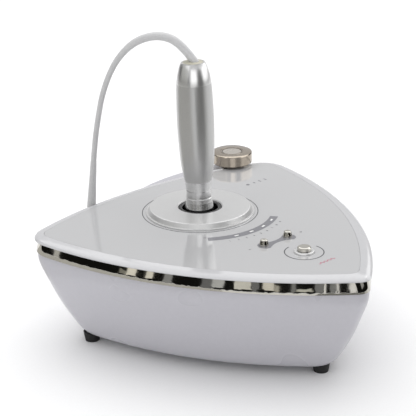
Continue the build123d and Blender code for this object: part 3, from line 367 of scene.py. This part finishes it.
NUMERAL_R, NUMERAL_SIZE = 65.2, 2.6
FIRST_NUMERAL, LAST_NUMERAL = -21.7, 25.9   # degrees from the nose
numerals = []
for i in range(9):
    angle = FIRST_NUMERAL + i * (LAST_NUMERAL - FIRST_NUMERAL) / 8
    reach = math.radians(angle)
    place = on_panel(NUMERAL_R * math.sin(reach), -NUMERAL_R * math.cos(reach))
    numerals.append(glyph(str(i + 1), NUMERAL_SIZE, place, angle))
joined("level_numerals", numerals, DARK_INK)
SIGN_SIZE = 4.2
joined("button_signs", [glyph("−", SIGN_SIZE, on_panel(-24.7, -82.4), 0),
                        glyph("+", SIGN_SIZE, on_panel(25.1, -83.8), 0)], DARK_INK)


FIELD_REACH, FIELD_END_R, FIELD_WAIST = 17.2, 5.8, 2.0


def dumbbell():
    """The grey field behind the two buttons: two round ends and a narrow waist."""
    end_x = FIELD_REACH - FIELD_END_R
    bm = bmesh.new()
    made = bmesh.ops.create_grid(bm, x_segments=40, y_segments=1, size=1.0)
    for v in made["verts"]:
        share = v.co.x
        reach = abs(share) * FIELD_REACH
        if reach > end_x:
            half = math.sqrt(max(FIELD_END_R ** 2 - (reach - end_x) ** 2, 0.0))
        else:
            half = FIELD_WAIST + (FIELD_END_R - FIELD_WAIST) * (reach / end_x) ** 2.2
        v.co = (share * FIELD_REACH * MM, math.copysign(half, v.co.y) * MM, 0)
    bmesh.ops.remove_doubles(bm, verts=bm.verts, dist=1e-6)
    thicken(bm, PRINT_T)
    x, y = on_panel(0, -84.2)
    bmesh.ops.translate(bm, verts=bm.verts, vec=(x, y, INK_LOW))
    return bm


ink("button_field", dumbbell(), GREY_INK)
# The outline round the power button leaves out a quarter, between +X and +Y. Angles are from the nose.
POWER_IN, POWER_OUT, POWER_FROM, POWER_TO = 13.6, 14.4, 187, 457
ink("power_outline", swept_bar(POWER_IN, POWER_OUT, POWER_FROM, POWER_TO, POWER, INK_LOW, PRINT_T, 120),
    DARK_INK)


def wave_mark():
    """A plain sign for radio waves: a dot with three arcs beside it."""
    spot = Vector((*on_panel(66.5, 17.6), 0))
    made = [arc_mesh(0.0001, 1.5, 0, 360, spot, INK_LOW, PRINT_T)]
    for inner in (6.5, 12.5, 18.5):
        half = 1300 / (10 * inner + 60)
        made.append(arc_mesh(inner, inner + 0.9, 90 - half, 90 + half, spot, INK_LOW, PRINT_T))
    return made


joined("wave_sign", wave_mark(), GREY_INK)


def standby_mark():
    """A short red wavy stroke beside the power button."""
    bumps, pitch = 9, 1.7
    made = []
    for i in range(bumps):
        spot = Vector((*on_panel(pitch * i - pitch * (bumps - 1) / 2, -134.1), 0))
        start = 90 if i % 2 else 270
        made.append(arc_mesh(0.65, 1.1, start, start + 180, spot, INK_LOW, PRINT_T, steps=12))
    return made


joined("standby_sign", standby_mark(), RED_INK)


# ---------------------------------------------------------------- spare head
def spare_shell():
    """The spare head's shell: a polished side and a lapped top, with a shallow ring round its core."""
    low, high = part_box("spare_head_shell")
    r, h = (high.x - low.x) / 2 / MM, (high.z - low.z) / MM
    pocket, depth, groove = 8.3, 4.0, 0.2
    bm = turned([(0, 0), (r - 0.7, 0), (r, 0.7), (r, h - 0.9), (r - 0.3, h - 0.3), (r - 1.0, h),
                 (pocket + 1.4, h), (pocket + 1.3, h - groove), (pocket + 0.9, h - groove), (pocket + 0.8, h),
                 (pocket, h), (pocket, h - depth), (0, h - depth)], 128)
    # Only the upward top ring takes the lighter lapped nickel; the rest keeps the polished nickel, painted
    # darker as dark reflection.
    for face in bm.faces:
        face.material_index = int(face.normal.z > 0.9 and face.calc_center_median().z > (h - 0.3) * MM)
    spot = middle("spare_head_shell")
    bmesh.ops.translate(bm, verts=bm.verts, vec=(spot.x, spot.y, low.z))
    return bm


spare = piece("spare_head_body", to_mesh(spare_shell(), "spare_head_body"), NICKEL_PAINTED_DARK, body="spare_head")
spare.data.materials.append(NICKEL_LAPPED)
spare.data.set_sharp_from_angle(angle=math.radians(25))
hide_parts("spare_head_shell")


# ---------------------------------------------------------------- cord boot
def boot():
    """The plug's moulded strain relief: ringed near the plug, smooth and slender towards the cord."""
    low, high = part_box("cord_plug")
    plug_r = (high.x - low.x) / 2
    foot = Vector((middle("cord_plug").x, high.y - plug_r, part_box("cord_strain_relief")[0].z))
    axis = cord_line[0] - foot
    length = axis.length / MM
    foot_r, taper = 4.15, 0.031
    groove, first, pitch = 0.4, 1.5, 2.6
    profile = [(0, 0), (foot_r, 0)]
    for i in range(5):
        z = first + pitch * i
        r = foot_r - z * taper
        profile += [(r, z), (r - groove, z + 0.35), (r - groove, z + 0.95), (r - 0.02, z + 1.3)]
    profile += [(3.65, 16.0), (3.25, 28.0), (2.75, 42.0), (2.42, length - 3.0), (2.3, length - 0.5),
                (2.1, length), (0, length)]
    bm = turned(profile, 64)
    tilt = Vector((0, 0, 1)).rotation_difference(axis.normalized()).to_matrix()
    bmesh.ops.rotate(bm, verts=bm.verts, cent=(0, 0, 0), matrix=tilt)
    bmesh.ops.translate(bm, verts=bm.verts, vec=foot)
    return bm


strain_relief = piece("cord_boot", to_mesh(boot(), "cord_boot"), GREY_PVC)
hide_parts("cord_strain_relief")


# ---------------------------------------------------------------- studio
def glow(name, value, strength=1.0):
    """A plain glowing material for the studio's boards."""
    mat = bpy.data.materials.new(name)
    mat.use_nodes = True
    mat.node_tree.nodes.clear()
    shader = node(mat, "ShaderNodeEmission", {"Color": linear(value), "Strength": strength})
    node(mat, "ShaderNodeOutputMaterial", {"Surface": shader.outputs[0]})
    return mat


def board(name, bm, mat, only_in_reflections=True):
    mesh = to_mesh(bm, name)
    mesh.materials.append(mat)
    made = bpy.data.objects.new(name, mesh)
    bpy.context.scene.collection.objects.link(made)
    if only_in_reflections:
        made.visible_camera = made.visible_diffuse = made.visible_shadow = made.visible_transmission = False


def bends(start, end):
    """Steps for a board, about 3 degrees each."""
    return max(1, int((end - start) / 3))


def wall(start, end, low, high, radius):
    """An upright wall bent about the object, between two angles in degrees from +X."""
    return swept_line((radius, 0, low), (radius, 0, high), start, end, bends(start, end))


ROOM_R, LAMP_R, CARD_R = 2.06, 2.0, 0.42
board("room_wall", wall(95, 372, 0.02, 0.78, ROOM_R), glow("dark room", "#161614"))
# Windows and lamps in front of the dark wall: from, to, low, high, grey.
ROOM_LAMPS = ((147.6, 149.8, 0.02, 0.5, "#C9C8C4"), (171.0, 173.4, 0.12, 0.34, "#8A8880"),
              (173.4, 176.4, 0.12, 0.5, "#FFFBF0"), (179.6, 181.8, 0.16, 0.5, "#F6F3E8"),
              (185.2, 187.8, 0.02, 0.6, "#9A9B9C"), (196.9, 200.0, 0.02, 0.55, "#77787A"),
              (200.0, 203.6, 0.16, 0.55, "#C9CBCC"), (206.6, 211.6, 0.16, 0.55, "#E4E3DC"),
              (211.8, 214.0, 0.02, 0.55, "#7C7D7E"), (215.0, 218.2, 0.2, 0.55, "#E9E6DC"),
              (218.4, 219.9, 0.1, 0.5, "#BDBAB0"), (223.4, 224.6, 0.02, 0.6, "#8E8F8F"),
              (225.0, 229.4, 0.16, 0.4, "#CFCFC6"), (230.2, 232.6, 0.02, 0.6, "#868788"),
              (232.8, 233.5, 0.02, 0.6, "#FFFFFF"), (234.6, 236.4, 0.02, 0.6, "#8A8B8C"),
              (236.4, 237.0, 0.02, 0.6, "#FFFFFF"), (240.2, 241.6, 0.02, 0.6, "#FFFFFF"))
for i, (start, end, low, high, value) in enumerate(ROOM_LAMPS):
    board(f"room_lamp_{i}", wall(start, end, low, high, LAMP_R), glow(f"room lamp {i}", value))

# Cards close to the handle's tail, above what the chrome band mirrors: from, to, low, high, grey, strength.
CARDS = ((125, 180, 0.2, 0.38, "#C4C4C0", 1.0), (203, 250, 0.2, 0.38, "#FFFFFF", 2.0),
         (262, 290, 0.2, 0.38, "#4A4A48", 1.0), (300, 376, 0.2, 0.38, "#FFFFFF", 1.9))
for i, (start, end, low, high, value, strength) in enumerate(CARDS):
    board(f"tail_card_{i}", wall(start, end, low, high, CARD_R), glow(f"tail card {i}", value, strength))
board("side_card", wall(338, 384, 0.62, 1.9, LAMP_R), glow("side card", "#FFFFFF", 2.4))


def floor_flag(start, end, inner, outer):
    """A flat board on the floor, between two angles in degrees from +X."""
    return swept_line((inner, 0, MM), (outer, 0, MM), start, end, bends(start, end))


# Grey and white flags on the table, which give the handle its long bands: from, to, grey.
FLAGS = ((105, 204, "#CBCAC6"), (204, 232, "#F6F6F6"), (232, 292, "#8A8A88"), (292, 312, "#D8D8D6"),
         (312, 372, "#FFFFFF"))
for i, (start, end, value) in enumerate(FLAGS):
    board(f"floor_flag_{i}", floor_flag(start, end, 0.19, LAMP_R), glow(f"floor flag {i}", value))

# Matt white paper: bright and even, with the object's soft shadow on it.
PAPER = finish("paper sweep, matt white", "#FAFAFA", "#F8F8F8", 2.0, 0.001, (0.9, 1.0), IOR=1.2)
bm = bmesh.new()
bmesh.ops.create_circle(bm, cap_ends=True, radius=6.0, segments=96)
board("paper_sweep", bm, PAPER, only_in_reflections=False)

world = bpy.data.worlds.new("studio")
bpy.context.scene.world = world
world.use_nodes = True
world.node_tree.nodes["Background"].inputs[0].default_value = linear("#FBFBFC")
world.node_tree.nodes["Background"].inputs[1].default_value = 0.72


def softbox(name, place, target, width, height, power, colour="#FFFFFF"):
    data = bpy.data.lights.new(name, "AREA")
    data.shape = "RECTANGLE"
    data.size, data.size_y = width, height
    data.energy = power
    data.color = linear(colour)[:3]
    made = bpy.data.objects.new(name, data)
    made.location = place
    made.rotation_euler = (Vector(target) - Vector(place)).to_track_quat("-Z", "Y").to_euler()
    bpy.context.scene.collection.objects.link(made)


softbox("overhead", (0.3, 0.45, 1.6), (0, 0, 0.05), 2.2, 2.2, 20)
softbox("left_fill", (-1.3, 0.1, 0.8), (0, 0, 0.1), 0.8, 0.9, 1.6)
softbox("right_fill", (0.5, -1.4, 0.7), (0, 0, 0.1), 0.7, 0.7, 0.6)

bpy.context.scene.view_settings.view_transform = "Standard"
